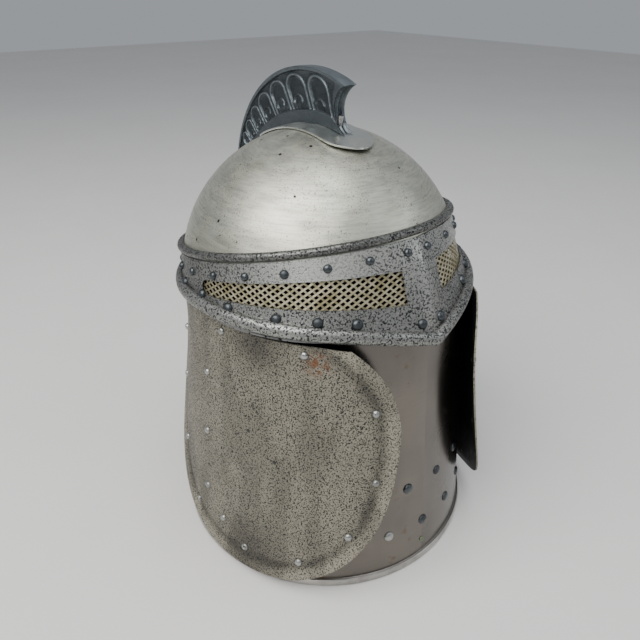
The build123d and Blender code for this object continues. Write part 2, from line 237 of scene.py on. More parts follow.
# ------------------------------------------------------------ material helpers
class Paint:
    """Small wrapper that builds a node material."""

    def __init__(self, name, metallic=1.0, roughness=0.4, **sockets):
        self.material = bpy.data.materials.new(name)
        self.material.use_nodes = True
        self.tree = self.material.node_tree
        self.shader = self.tree.nodes["Principled BSDF"]
        self.shader.inputs["Metallic"].default_value = metallic
        self.shader.inputs["Roughness"].default_value = roughness
        for key, value in sockets.items():
            self.shader.inputs[key.replace("_", " ")].default_value = value
        self.place = self.node("ShaderNodeTexCoord").outputs["Object"]

    def node(self, kind, inputs=None, **settings):
        made = self.tree.nodes.new(kind)
        for key, value in settings.items():
            setattr(made, key, value)
        for key, value in (inputs or {}).items():
            if isinstance(value, bpy.types.NodeSocket):
                self.tree.links.new(value, made.inputs[key])
            else:
                made.inputs[key].default_value = value
        return made

    def math(self, operation, a, b=0.0):
        return self.node("ShaderNodeMath", {0: a, 1: b}, operation=operation).outputs[0]

    def stretch(self, x, y, z, source=None):
        kind = {"Vector": source or self.place, "Scale": (x, y, z)}
        return self.node("ShaderNodeMapping", kind).outputs[0]

    def around(self, centre, tilt=0.0):
        """Coordinates as (angle about an upright axis, height, zero)."""
        moved = self.node("ShaderNodeVectorMath", {0: self.place, 1: tuple(-c * MM for c in centre)},
                          operation="ADD").outputs[0]
        turned = self.node("ShaderNodeVectorRotate", {"Vector": moved, "Angle": tilt},
                           rotation_type="X_AXIS").outputs[0]
        xyz = self.node("ShaderNodeSeparateXYZ", {0: turned}).outputs
        angle = self.math("ARCTAN2", xyz[0], xyz[1])
        return self.node("ShaderNodeCombineXYZ", {0: angle, 1: xyz[2], 2: 0.0}).outputs[0]

    def noise(self, scale, detail=2.0, rough=0.5, source=None, distort=0.0):
        values = {"Vector": source or self.place, "Scale": scale, "Detail": detail,
                  "Roughness": rough, "Distortion": distort}
        return self.node("ShaderNodeTexNoise", values).outputs[0]

    def cells(self, scale, feature="F1", source=None, output="Distance"):
        values = {"Vector": source or self.place, "Scale": scale}
        return self.node("ShaderNodeTexVoronoi", values, feature=feature).outputs[output]

    def limit(self, value, low, high, start=0.0, end=1.0):
        """Smoothly remaps low..high to start..end."""
        values = {"Value": value, 1: low, 2: high, 3: start, 4: end}
        return self.node("ShaderNodeMapRange", values, interpolation_type="SMOOTHSTEP").outputs[0]

    def mix(self, share, a, b, blend="MIX"):
        values = {0: share, 6: self.colour(a), 7: self.colour(b)}
        return self.node("ShaderNodeMix", values, data_type="RGBA", blend_type=blend).outputs[2]

    def colour(self, value):
        return value if isinstance(value, bpy.types.NodeSocket) else (*value, 1.0)

    def named(self, name):
        return self.node("ShaderNodeAttribute", attribute_name=name).outputs["Fac"]

    def spot(self, centre, inner, outer):
        """One near a point of the object, zero away from it."""
        gap = self.node("ShaderNodeVectorMath", {0: self.place, 1: tuple(c * MM for c in centre)},
                        operation="DISTANCE").outputs["Value"]
        return self.limit(gap, inner * MM, outer * MM, 1.0, 0.0)

    def finish(self, colour, roughness=None, bumps=()):
        self.tree.links.new(colour, self.shader.inputs["Base Color"])
        if roughness is not None:
            self.tree.links.new(roughness, self.shader.inputs["Roughness"])
        normal = None
        for height, strength, depth in bumps:
            values = {"Height": height, "Strength": strength, "Distance": depth * MM}
            if normal is not None:
                values["Normal"] = normal
            normal = self.node("ShaderNodeBump", values).outputs[0]
        if normal is not None:
            self.tree.links.new(normal, self.shader.inputs["Normal"])
        return self.material


def crackle(name, pale, dark, scale, cover, roughness, metallic=0.75, lines=0.5, rust=None):
    """Hammered two-tone coat: pale grains with black speckle and wandering lines."""
    p = Paint(name, metallic)
    soft = p.noise(18, 3, 0.5)
    grain = p.noise(scale, 2.5, 0.62)
    worm = p.math("ABSOLUTE", p.math("SUBTRACT", p.noise(scale * 0.55, 1.5, 0.5, distort=0.6), 0.5))
    share = p.math("MULTIPLY", p.limit(p.noise(26, 2, 0.6), 0.42, 0.62), lines)
    speck = p.limit(grain, cover - 0.06, cover + 0.035, 1.0, 0.0)
    line = p.math("MULTIPLY", p.limit(worm, 0.012, 0.035, 1.0, 0.0), share)
    black = p.math("MAXIMUM", speck, line)
    tone = p.mix(p.limit(soft, 0.3, 0.7), tuple(c * 0.82 for c in pale), tuple(c * 1.12 for c in pale))
    tone = p.mix(p.limit(p.noise(scale * 1.7, 1, 0.5), 0.35, 0.7), tone, tuple(c * 1.35 for c in pale))
    # Painted highlight and wear: this attribute lifts the coat towards a pale bright tone and thins the
    # black speckle, where the coat is rubbed and where light falls.
    worn = p.named("wear_and_highlight")
    tone = p.mix(p.math("MULTIPLY", worn, 0.6), tone, tuple(min(1, c * 2.7) for c in pale))
    shade = p.named("shade")
    tone = p.mix(p.math("MULTIPLY", shade, 0.85), tone, tuple(c * 0.2 for c in pale))
    black = p.math("MULTIPLY", black, p.math("SUBTRACT", 1.0, p.math("MULTIPLY", worn, 0.35)))
    colour = p.mix(black, tone, dark)
    if rust:
        mask = p.math("MULTIPLY", p.spot(*rust), p.limit(p.noise(260, 3, 0.6), 0.4, 0.62))
        colour = p.mix(p.math("MULTIPLY", mask, 0.85), colour, (0.15, 0.055, 0.016))
    rough = p.limit(black, 0.0, 1.0, roughness, roughness + 0.25)
    height = p.math("SUBTRACT", 1.0, black)
    return p.finish(colour, rough, ((height, 0.55, 0.16), (p.noise(120, 2, 0.5), 0.25, 0.5)))


def plain_metal(name, colour, dark, roughness, metallic=1.0, scale=160, cover=0.40, bump=0.3):
    """Forged metal with dark pores, slow tarnish and worn high places."""
    p = Paint(name, metallic)
    tarnish = p.limit(p.noise(40, 4, 0.6), 0.35, 0.68)
    tone = p.mix(tarnish, colour, tuple(c * 0.62 for c in colour))
    pores = p.limit(p.noise(scale * 3, 2, 0.6), cover - 0.07, cover, 1.0, 0.0)
    tone = p.mix(pores, tone, dark)
    tone = p.mix(p.math("MULTIPLY", p.named("wear_and_highlight"), 0.8), tone, tuple(min(1, c * 2.9) for c in colour))
    rough = p.limit(tarnish, 0.0, 1.0, roughness, roughness + 0.18)
    return p.finish(tone, rough, ((p.noise(scale, 3, 0.6), bump, 0.35),))


# ------------------------------------------------------------ materials
random.seed(4)
DARK = (0.012, 0.013, 0.015)
RUST_AT = ((-79.0, -82.5, 202.0), 2.0, 13.0)

visor_coat = crackle("visor_pewter", (0.235, 0.236, 0.222), DARK, 760, 0.47, 0.36, lines=1.0)
cheek_coat = crackle("cheek_crackle", (0.215, 0.198, 0.155), DARK, 980, 0.47, 0.5, 0.45, 0.6, RUST_AT)
crest_metal = plain_metal("crest_casting", (0.080, 0.092, 0.100), DARK, 0.42, scale=300, cover=0.38)
rivet_dark = plain_metal("rivet_dark", (0.095, 0.105, 0.112), DARK, 0.34, scale=260, cover=0.38)
rivet_bright = plain_metal(
    "rivet_bright", (0.42, 0.43, 0.41), (0.05, 0.05, 0.05), 0.3, scale=260, cover=0.36)
rim_metal = plain_metal(
    "rim_steel", (0.47, 0.45, 0.42), (0.12, 0.11, 0.1), 0.3, scale=90, cover=0.3, bump=0.12)
ring_metal = plain_metal("seat_steel", (0.30, 0.30, 0.29), DARK, 0.45, scale=120)
screw_metal = plain_metal("fastener_steel", (0.40, 0.40, 0.39), DARK, 0.35, scale=200)
saddle_metal = plain_metal(
    "saddle_steel", (0.68, 0.70, 0.66), (0.16, 0.15, 0.13), 0.3, scale=70, cover=0.3, bump=0.1)
old_brass = plain_metal("old_brass", (0.30, 0.36, 0.24), (0.05, 0.06, 0.04), 0.45, scale=260)


def brushed_dome():
    """Antique nickel: fine level brushing round the dome, warm patches and black pits."""
    p = Paint("skull_nickel", 1.0)
    ring = p.around(SKULL_CENTRE)
    lines = p.noise(1.0, 3, 0.65, p.stretch(5, 900, 1, ring))
    wide = p.noise(1.0, 3, 0.6, p.stretch(2.2, 160, 1, ring))
    patch = p.limit(p.noise(14, 3, 0.55), 0.35, 0.68)
    tone = p.mix(patch, (0.60, 0.605, 0.53), (0.50, 0.49, 0.40))
    tone = p.mix(p.math("MULTIPLY", p.limit(lines, 0.42, 0.7), 0.5), tone, (0.30, 0.305, 0.28))
    tone = p.mix(p.math("MULTIPLY", p.limit(wide, 0.5, 0.75), 0.35), tone, (0.27, 0.275, 0.26))
    specks = p.limit(p.noise(900, 2, 0.6), 0.57, 0.67)
    fine = p.math("MULTIPLY", specks, p.limit(p.noise(30, 2), 0.40, 0.60))
    tone = p.mix(p.math("MULTIPLY", fine, 0.75), tone, (0.11, 0.085, 0.05))
    pits = p.math("MULTIPLY", p.limit(p.cells(110), 0.10, 0.16, 1.0, 0.0),
                  p.limit(p.noise(60, 1), 0.56, 0.60))
    tone = p.mix(pits, tone, (0.035, 0.028, 0.02))
    rough = p.limit(wide, 0.35, 0.7, 0.42, 0.54)
    return p.finish(tone, rough, ((lines, 0.22, 0.10), (p.noise(35, 2), 0.25, 1.2), (pits, -0.5, 0.2)))


def brushed_body():
    """Warm stainless sheet with hair-fine level brushing, a few stains and scuffs."""
    p = Paint("body_steel", 1.0)
    ring = p.around((0, 0, 0))
    lines = p.noise(1.0, 3, 0.65, p.stretch(4, 800, 1, ring))
    soft = p.noise(1.0, 3, 0.55, p.stretch(1.8, 8, 1, ring))
    tone = p.mix(p.limit(soft, 0.35, 0.65), (0.185, 0.166, 0.146), (0.145, 0.131, 0.118))
    tone = p.mix(p.math("MULTIPLY", p.limit(lines, 0.45, 0.72), 0.4), tone, (0.14, 0.128, 0.118))
    stain = p.math("MULTIPLY", p.limit(p.noise(90, 3, 0.6), 0.63, 0.72), 0.6)
    tone = p.mix(stain, tone, (0.13, 0.095, 0.06))
    rough = p.limit(soft, 0.3, 0.7, 0.20, 0.29)
    return p.finish(tone, rough, ((lines, 0.16, 0.08), (p.noise(22, 2), 0.2, 1.5)))


def inner_black():
    """Flat black coat inside the helmet, dusty and scuffed."""
    p = Paint("inner_black", 0.0)
    dust = p.limit(p.noise(180, 4, 0.6), 0.5, 0.75)
    tone = p.mix(dust, (0.006, 0.006, 0.007), (0.03, 0.029, 0.027))
    return p.finish(tone, p.limit(dust, 0, 1, 0.45, 0.8), ((p.noise(500, 2), 0.4, 0.2),))


def mesh_metal():
    """Old brass expanded mesh, pale where it is rubbed."""
    p = Paint("mesh_brass", 0.6)
    worn = p.limit(p.noise(300, 3, 0.6), 0.36, 0.62)
    tone = p.mix(worn, (0.24, 0.215, 0.13), (0.46, 0.42, 0.30))
    tone = p.mix(p.limit(p.noise(40, 3), 0.55, 0.72), tone, (0.22, 0.19, 0.10))
    return p.finish(tone, p.limit(worn, 0, 1, 0.5, 0.34), ((p.noise(700, 2), 0.4, 0.15),))


dome_metal = brushed_dome()
body_metal = brushed_body()
black_coat = inner_black()
mesh_gold = mesh_metal()


def dress(obj, material, body, slot, *stands_for, inner=None, toward=None):
    """Gives a piece its materials, its body and the CAD nodes it stands for; the slot argument is not used.
    """
    obj.data.materials.append(material)
    if inner is not None:
        obj.data.materials.append(inner)
        for face in obj.data.polygons:
            away = face.center / MM - toward(face.center / MM)
            face.material_index = 1 if face.normal.dot(away) < -0.2 * away.length else 0
    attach(obj, body)
    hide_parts(*stands_for)


def axis_point(at):
    return Vector((0, 0, at.z))


def skull_point(_):
    return SKULL_CENTRE


# ------------------------------------------------------------ body shell, rim
def body_profile():
    heights = [2.0 + 211.6 * k / 60 for k in range(61)]
    outer = [(BODY_RADIUS - BODY_TAPER * z, z) for z in heights]
    inner = [(r - SHEET, z) for r, z in reversed(outer)]
    return outer + inner + outer[:1]


shell = weld(lathe("body_shell_skin", body_profile(), wobble=0.35))
dress(shell, body_metal, "body", "body_steel", "body_shell", inner=black_coat, toward=axis_point)

rim_section = [
    (123.0, 7.1), (124.2, 7.3), (124.6, 6.9), (125.3, 7.2), (126.0, 6.9), (126.35, 6.2), (126.45, 4.6),
    (126.4, 2.4), (126.1, 0.9), (125.4, 0.2), (124.2, 0.0), (122.9, 0.2), (121.9, 0.9), (121.6, 2.2),
    (121.6, 5.2), (121.9, 6.5), (123.0, 7.1),
]
rim = weld(lathe("base_rim_roll", rim_section, wobble=0.0, sharp=60))
modify(rim, "SUBSURF", levels=1)
dress(rim, rim_metal, "body", "rim_steel", "base_rim")

# ------------------------------------------------------------ skull dome
# The CAD dome goes on to a lean of 79.8 degrees.  Its skin stops sooner here, under the visor, because
# the dome is larger than the visor at the back and would show through it.
DOME_FIRST_LEAN, DOME_LEAN_SPAN = 0.4, 75.8
dome_points, dome_rows = [], 72
for i in range(288):
    turn = 2 * pi * i / 288
    for k in range(dome_rows):
        lean = radians(DOME_FIRST_LEAN + DOME_LEAN_SPAN * k / (dome_rows - 1))
        out = SKULL_SIDE * -cos(turn) + Vector((sin(turn), 0, 0))
        ray = SKULL_AXIS * cos(lean) + out * sin(lean)
        dome_points.append(SKULL_CENTRE + ray * (SKULL_RADIUS - 0.25 + 0.22 * noise.noise(ray * 3.1)))
dome_cap = list(range(0, 288 * dome_rows, dome_rows))
dome = mesh("skull_dome_skin", dome_points, grid_faces(288, dome_rows, True) + [tuple(reversed(dome_cap))])
modify(dome, "SOLIDIFY", thickness=SHEET * MM, offset=-1.0)


def face_outwards(obj, toward):
    """Turns the whole mesh inside out if its skin looks inwards."""
    score = 0
    for face in obj.data.polygons:
        score += face.normal.dot(face.center / MM - toward(face.center / MM)) * face.area
    if score < 0:
        obj.data.flip_normals()


dress(dome, dome_metal, "skull", "skull_nickel", "skull_dome", inner=black_coat, toward=skull_point)

# ------------------------------------------------------------ visor
VISOR_TURNS, VISOR_ROWS = 480, 26
visor_points = []
for i in range(VISOR_TURNS):
    for k in range(VISOR_ROWS):
        at, normal, up = visor_frame(2 * pi * i / VISOR_TURNS, k / (VISOR_ROWS - 1))
        visor_points.append(at + normal * 0.15 * noise.noise(at * 0.06))
visor = mesh("visor_sheet", visor_points, grid_faces(VISOR_TURNS, VISOR_ROWS, True), 60)
face_outwards(visor, axis_point)
modify(visor, "SOLIDIFY", thickness=1.3 * MM, offset=-1.0)
for side in (-1, 1):
    outline = slot_outline(side)
    count = len(outline)
    along = Vector((cos(radians(side * 50)), sin(radians(side * 50)), 0))
    out = direction(side * 50)
    cutter_points = [along * x + out * reach + Vector((0, 0, z)) for reach in (60, 180) for x, z in outline]
    cutter_faces = [(k, (k + 1) % count, (k + 1) % count + count, k + count) for k in range(count)]
    cutter_faces += [tuple(reversed(range(count))), tuple(range(count, 2 * count))]
    if side < 0:
        cutter_faces = [tuple(reversed(face)) for face in cutter_faces]
    cutter = mesh("cutter", cutter_points, cutter_faces)
    modify(visor, "BOOLEAN", operation="DIFFERENCE", object=cutter, solver="EXACT")
    bpy.data.objects.remove(cutter)
visor.data.set_sharp_from_angle(angle=radians(38))


def visor_highlight_and_wear(at):
    """Painted highlight: a bright band above the eye slots, where the light falls; the coat is also rubbed
    bright along the nose.
    """
    side = abs(degrees(atan2(at.x, -at.y)))
    above = exp(-((side - 42) / 26) ** 2) * smooth(240, 250, at.z)
    return 1.3 * above + 0.35 * exp(-(side / 4) ** 2)


attribute(visor, "wear_and_highlight", visor_highlight_and_wear)
attribute(visor, "shade", lambda at: smooth(-0.3, 0.5, at.y / hypot(at.x, at.y)) * 0.8)
dress(visor, visor_coat, "skull", "visor_pewter", "visor_band", inner=black_coat, toward=axis_point)

lip_path, lip_ups = [], []
for i in range(VISOR_TURNS):
    turn = 2 * pi * i / VISOR_TURNS
    at, normal, up = visor_frame(turn, 0)
    lip_path.append(at + normal * (0.2 + 0.15 * noise.noise(at * 0.05)) + up * 0.3)
    lip_ups.append(up)
points, faces = tube(lip_path, 3.75, 4.9, 24, lip_ups)
lip = mesh("visor_lip", points, faces, 60)
attribute(lip, "wear_and_highlight", lambda at: 0.0)
attribute(lip, "shade", lambda at: smooth(0.1, 0.9, at.y / hypot(at.x, at.y)) * 0.8)
dress(lip, visor_coat, "skull", "visor_pewter")

bead_path, bead_ups = [], []
for i in range(VISOR_TURNS):
    turn = 2 * pi * i / VISOR_TURNS
    out = Vector((sin(turn), 0, 0)) - SKULL_SIDE * cos(turn)
    reach = BROW_RADIUS + 3.0 + 0.12 * noise.noise(out * 6)
    bead_path.append(SKULL_CENTRE + SKULL_AXIS * BROW_OFFSET + out * reach)
    bead_ups.append(SKULL_AXIS)
points, faces = tube(bead_path, 3.0, 3.0, 20, bead_ups)
bead = mesh("brow_bead", points, faces, 60)
attribute(bead, "wear_and_highlight", lambda at: 0.0)
attribute(bead, "shade", lambda at: 0.55 + 0.25 * smooth(0.1, 0.9, at.y / hypot(at.x, at.y)))
dress(bead, visor_coat, "skull", "visor_pewter", "brow_roll")


# ------------------------------------------------------------ eye meshes: crossing flat strands
MESH_WIDE, MESH_TALL = 5.6, 4.2
for side, label in ((-1, "right"), (1, "left")):
    outline = slot_outline(side)
    along = Vector((cos(radians(side * 50)), sin(radians(side * 50)), 0))
    points, faces = [], []

    def lattice(x, z):
        """Point on the back of the visor that lies across x and height z on the slot's plane."""
        low_turn, high_turn = radians(side * 50 - 75), radians(side * 50 + 75)
        for _ in range(22):
            middle = (low_turn + high_turn) / 2
            if visor_at_height(middle, z, 2.1)[0].dot(along) < x:
                low_turn = middle
            else:
                high_turn = middle
        return visor_at_height(middle, z, 2.1)

    table = {}
    for ix in range(-42, 43):
        for iz in range(0, 18):
            table[ix, iz] = lattice(ix * 2.0, 226 + iz * 2.0)

    def looked_up(x, z):
        fx, fz = min(83.9, max(-83.9, x)) / 2.0, min(33.9, max(0.0, z - 226)) / 2.0
        ix, iz = int(fx // 1), int(fz // 1)
        sx, sz = fx - ix, fz - iz
        result = []
        for pick in (0, 1):
            a, b = table[ix, iz][pick], table[ix + 1, iz][pick]
            c, d = table[ix, iz + 1][pick], table[ix + 1, iz + 1][pick]
            result.append((a * (1 - sx) + b * sx) * (1 - sz) + (c * (1 - sx) + d * sx) * sz)
        return result

    slope = MESH_TALL / MESH_WIDE
    for lean in (-1, 1):
        for line in range(-36, 37):
            run = []
            for step in range(-60, 61):
                x = step * 1.4
                z = 243 + line * MESH_TALL + lean * slope * x
                near = inside(outline, x, z) or any(
                    inside(outline, x + dx, z + dz) for dx, dz in ((4, 0), (-4, 0), (0, 4), (0, -4)))
                if near and 227 < z < 259:
                    run.append((x, z))
                    continue
                if len(run) > 1:
                    centres = [looked_up(*spot) for spot in run]
                    path = [at for at, _ in centres]
                    ups = [(normal + Vector((0, 0, 0.2 * lean))).normalized() for _, normal in centres]
                    ring, quads = tube(path, 0.95, 0.3, 4, ups, wrap=False, turn=pi / 4)
                    faces += [tuple(n + len(points) for n in quad) for quad in quads]
                    points += ring
                run = []
    eye = mesh(f"eye_mesh_{label}_wire", points, faces, 30)
    dress(eye, mesh_gold, "skull", "mesh_brass", f"eye_mesh_{label}")

# ------------------------------------------------------------ rivets
# Profiles of a rivet head as (share of its radius, share of its rise), from its foot to its middle.
EYELET_RINGS = (
    (1.0, -0.3), (1.0, 0.12), (0.86, 0.42), (0.62, 0.5), (0.45, 0.3), (0.4, -0.25), (0.0, -0.3))
DOME_RINGS = (
    (1.0, -0.3), (1.0, 0.08), (0.95, 0.36), (0.82, 0.64), (0.6, 0.86), (0.32, 0.97), (0.0, 1.0))


def rivet_cluster(name, places, radius, rise, hollow=()):
    """Hand-set domed heads, one for each (point, outward normal), each a little different."""
    points, faces = [], []
    for number, (at, normal) in enumerate(places):
        wide = radius * random.uniform(0.94, 1.05)
        high = rise * random.uniform(0.92, 1.06)
        tip = Vector((random.uniform(-1, 1), random.uniform(-1, 1), random.uniform(-1, 1))) * 0.07
        axis = (normal + tip).normalized()
        left = axis.orthogonal().normalized()
        front = axis.cross(left)
        if number in hollow:
            rings = EYELET_RINGS
        else:
            rings = DOME_RINGS
        start = len(points)
        for share, lift in rings:
            for k in range(20):
                angle = 2 * pi * k / 20
                dent = 1 + 0.03 * noise.noise(Vector((cos(angle), sin(angle), number * 1.7)))
                spoke = left * cos(angle) + front * sin(angle)
                points.append(at + spoke * wide * share * dent + axis * high * lift)
        faces += grid_faces(len(rings), 20, False, True, start)
    return weld(mesh(name, points, faces, 60))


def visor_place(azimuth, share):
    at, normal, _ = visor_frame(radians(azimuth), share)
    return at, normal


def body_place(azimuth, height):
    out = direction(azimuth + BODY_TURN)
    radius = BODY_RADIUS - BODY_TAPER * height
    return out * radius + Vector((0, 0, height)), (out + Vector((0, 0, BODY_TAPER))).normalized()


upper = []
for side in (-1, 1):
    for step in range(12):
        azimuth = 5 + 15 * step
        upper.append(visor_place(side * azimuth, 0.88 - 0.0000235 * azimuth**2))
lower = []
for side in (-1, 1):
    for azimuth in (4.6, 28, 41, 55, 74, 88, 104):
        lower.append(visor_place(side * azimuth, 0.16 if azimuth < 80 else 0.22))
piece = rivet_cluster("upper_visor_rivet_heads", upper, 3.0, 2.5)
attribute(piece, "wear_and_highlight", lambda at: 0.0)
dress(piece, rivet_dark, "skull", "rivet_dark", "upper_visor_rivets")
piece = rivet_cluster("lower_visor_rivet_heads", lower, 3.8, 2.8)
dress(piece, rivet_dark, "skull", "rivet_dark", "lower_visor_rivets")

breath = [body_place(azimuth, 80) for azimuth in (-16, 0, 16)]
breath += [body_place(azimuth, 40) for azimuth in (-8, 8, 24)]
piece = rivet_cluster("breath_rivet_heads", breath, 4.1, 1.9)
dress(piece, rivet_dark, "body", "rivet_dark", "breath_rivets")
piece = rivet_cluster("breath_rivet_bright", [body_place(-24, 40)], 4.1, 2.0)
dress(piece, rivet_bright, "body", "rivet_bright")
piece = rivet_cluster("rim_screw_head", [body_place(-8, 18.5)], 2.4, 1.6)
dress(piece, old_brass, "body", "old_brass", "rim_screw")


# ------------------------------------------------------------ cheek plates
def plate_point(side, forward, height, lift):
    """Point that lies forward (towards the face) and height on the plate, and its normal."""
    turn = radians(side * PLATE_MIDDLE)
    out = direction(side * PLATE_MIDDLE)
    along = Vector((cos(turn), sin(turn), 0))
    contact = direction(side * PLATE_CONTACT)
    stand = PLATE_STAND - PLATE_STAND_FALL * height
    centre = contact * -stand
    radius = BODY_RADIUS - BODY_TAPER * height + stand + 0.3 + SHEET
    sideways = -side * forward - centre.dot(along)
    at = along * (-side * forward) + out * (centre.dot(out) + sqrt(max(1.0, radius**2 - sideways**2)))
    spoke = (at - centre) / radius
    normal = (spoke + Vector((0, 0, BODY_TAPER + PLATE_STAND_FALL * (1 - spoke.dot(contact))))).normalized()
    return at + Vector((0, 0, height)) + normal * lift, normal


def squared(u, v):
    """Size of the plate's rounded outline that passes through u and v; 1 is the edge."""
    return (abs(u) ** PLATE_SQUARENESS + abs(v) ** PLATE_SQUARENESS) ** (1 / PLATE_SQUARENESS)


def plate_lift(share, forward, height):
    """How far the sheet stands out: a shallow valley inside a rim that is turned outwards."""
    valley = -0.35 * exp(-((share - 0.88) / 0.035) ** 2)
    return valley + 2.9 * smooth(0.90, 1.0, share)


PLATE_RIVETS = (
    (-18.5, 206.5), (47, 207.5), (91.4, 167), (97.5, 111.7), (85.7, 64), (53, 32), (5, 23),
    (-58, 27), (-88, 66), (-100, 118), (-92, 168),
)
MOUNT_RIVETS = ((-37.4, 164.8), (-39.7, 111), (-40.6, 56.4), (-19.4, 37.7))
PLATE_TURNS, PLATE_RINGS = 256, 46
for side, label in ((-1, "right"), (1, "left")):
    points = []
    for i in range(PLATE_TURNS):
        angle = 2 * pi * i / PLATE_TURNS
        for k in range(PLATE_RINGS):
            share = 1 - (1 - k / (PLATE_RINGS - 1)) ** 1.5 if k else 0.003
            reach = share / squared(cos(angle), sin(angle))
            wide = PLATE_WIDE - 2.2 * smooth(0.9, 1.0, share)
            forward = PLATE_SHIFT + wide * reach * cos(angle)
            height = PLATE_HIGH + PLATE_TALL * reach * sin(angle)
            at, normal = plate_point(side, forward, height, plate_lift(share, forward, height))
            points.append(at + normal * 0.2 * noise.noise(at * 0.03))
    centre_cap = list(range(0, PLATE_TURNS * PLATE_RINGS, PLATE_RINGS))
    plate_faces = grid_faces(PLATE_TURNS, PLATE_RINGS, True) + [centre_cap]
    plate = mesh(f"cheek_plate_{label}_skin", points, plate_faces)
    face_outwards(plate, axis_point)
    box_low = Vector((-200, -200, PLATE_TOP))
    trim_points = [
        box_low + Vector((400 * x, 400 * y, 200 * z)) for x in (0, 1) for y in (0, 1) for z in (0, 1)]
    trim_faces = [(0, 1, 3, 2), (4, 6, 7, 5), (0, 4, 5, 1), (2, 3, 7, 6), (0, 2, 6, 4), (1, 5, 7, 3)]
    trim = mesh("trim", trim_points, trim_faces)
    modify(plate, "SOLIDIFY", thickness=SHEET * MM, offset=-1.0)
    modify(plate, "BOOLEAN", operation="DIFFERENCE", object=trim, solver="EXACT")
    bpy.data.objects.remove(trim)
    plate.data.set_sharp_from_angle(angle=radians(38))

    def plate_share(at):
        turn = radians(side * PLATE_MIDDLE)
        forward = -side * (at.x * cos(turn) + at.y * sin(turn))
        return squared((forward - PLATE_SHIFT) / PLATE_WIDE, (at.z - PLATE_HIGH) / PLATE_TALL)

    # Painted highlight and wear: the turned-out rim is made brighter, as it is rubbed and catches the
    # light.
    attribute(plate, "wear_and_highlight", lambda at: 0.35 * smooth(0.90, 0.97, plate_share(at)))
    def plate_shade(at):
        turn = radians(side * PLATE_MIDDLE)
        forward = -side * (at.x * cos(turn) + at.y * sin(turn))
        top = exp(-((forward - 12) / 22) ** 2) * smooth(178, 206, at.z)
        foot = exp(-((forward - 8) / 26) ** 2) * smooth(62, 28, at.z)
        spot = Vector((forward * 0.045, side * 3.0, at.z * 0.012))
        cloud = 0.35 * smooth(0.50, 0.72, noise.noise(spot) + 0.5)
        return min(1.0, 0.9 * top + 0.5 * foot + cloud + 0.55 * exp(-((plate_share(at) - 0.9) / 0.03) ** 2))

    attribute(plate, "shade", plate_shade)
    dress(plate, cheek_coat, "body", "cheek_crackle", f"cheek_plate_{label}",
          inner=black_coat, toward=axis_point)

    heads = [plate_point(side, forward, height, 0.0) for forward, height in PLATE_RIVETS]
    piece = rivet_cluster(f"cheek_rivet_heads_{label}", heads, 2.9, 2.1, hollow=(6, 7))
    dress(piece, rivet_bright, "body", "rivet_bright", f"cheek_rivets_{label}")
    mounts = [plate_point(side, forward, height, 0.0) for forward, height in MOUNT_RIVETS]
    piece = rivet_cluster(f"cheek_mount_heads_{label}", mounts, 2.8, 2.0)
    dress(piece, rivet_bright, "body", "rivet_bright", f"cheek_mount_rivets_{label}")
    tails = []
    for forward, height in PLATE_RIVETS:
        at, normal = plate_point(side, forward, height, -SHEET - 0.1)
        tails.append((at, -normal))
    piece = rivet_cluster(f"cheek_rivet_tails_{label}", tails, 1.9, 0.7)
    dress(piece, rivet_bright, "body", "rivet_bright")
    # Painted shade: the two empty drill holes are drawn as black discs standing for the shade in them.
    drilled = [plate_point(side, forward, height, 0.05) for forward, height in ((7.4, 136.3), (30, 117.9))]
    piece = rivet_cluster(f"cheek_drill_holes_{label}", drilled, 1.5, 0.12)
    dress(piece, black_coat, "body", "cheek_crackle")

# ------------------------------------------------------------ crest saddle
SADDLE_FRONT, SADDLE_BACK, SADDLE_HALF = -36.0, 73.5, 19.2


def saddle_point(length, across, lift):
    """Point above the skull: length 0..1 from front to back, across -1..1, raised by lift."""
    y = SADDLE_FRONT + (SADDLE_BACK - SADDLE_FRONT) * length
    nose = min(1.0, (y - SADDLE_FRONT) / SADDLE_HALF)
    tail = min(1.0, (SADDLE_BACK - y) / SADDLE_HALF)
    half = SADDLE_HALF * sqrt(max(0.0, 1 - (1 - nose) ** 2)) * sqrt(max(0.0, 1 - (1 - tail) ** 2))
    x = half * across
    gap = 1.3 + 1.7 * smooth(0.25, 0.0, length) + 0.35 * abs(across) ** 3
    radius = SKULL_RADIUS + gap + lift
    return Vector((x, y, SKULL_CENTRE.z + sqrt(radius**2 - x * x - (y - SKULL_CENTRE.y) ** 2)))


saddle_points = []
for i in range(121):
    length = 0.5 - 0.5 * cos(pi * (0.004 + 0.992 * i / 120))
    for k in range(33):
        saddle_points.append(saddle_point(length, -1 + k / 16, 1.2))
saddle = mesh("crest_saddle_plate", saddle_points, grid_faces(121, 33))
face_outwards(saddle, skull_point)
modify(saddle, "SOLIDIFY", thickness=1.3 * MM, offset=-1.0)
modify(saddle, "BEVEL", width=0.35 * MM, segments=2, limit_method="ANGLE", angle_limit=radians(50))
dress(saddle, saddle_metal, "skull", "skull_nickel", "crest_saddle")

# ------------------------------------------------------------ crest
CREST_STEPS, CREST_ROWS = 420, 96


crown, crown_length = three_arc((-19.2, 356.9), (60.0, 356.6), (116.2, 292.0))
tail, tail_length = three_arc((116.2, 292.0), (120.7, 270.0), (116.7, 247.4))
front, _ = three_arc((-22.6, 323.6), (-9.5, 346.3), (-19.2, 356.9))


def crest_outer(part):
    at = part * (crown_length + tail_length)
    return crown(at / crown_length) if at < crown_length else tail((at - crown_length) / tail_length)


def crest_inner(part):
    """Foot of the comb on the saddle and the skull."""
    lean = radians(-18.6 + (78.0 + 18.6) * part)
    radius = SKULL_RADIUS + 2.6 - 1.2 * smooth(0.62, 0.8, part)
    return SKULL_CENTRE.y + radius * sin(lean), SKULL_CENTRE.z + radius * cos(lean)


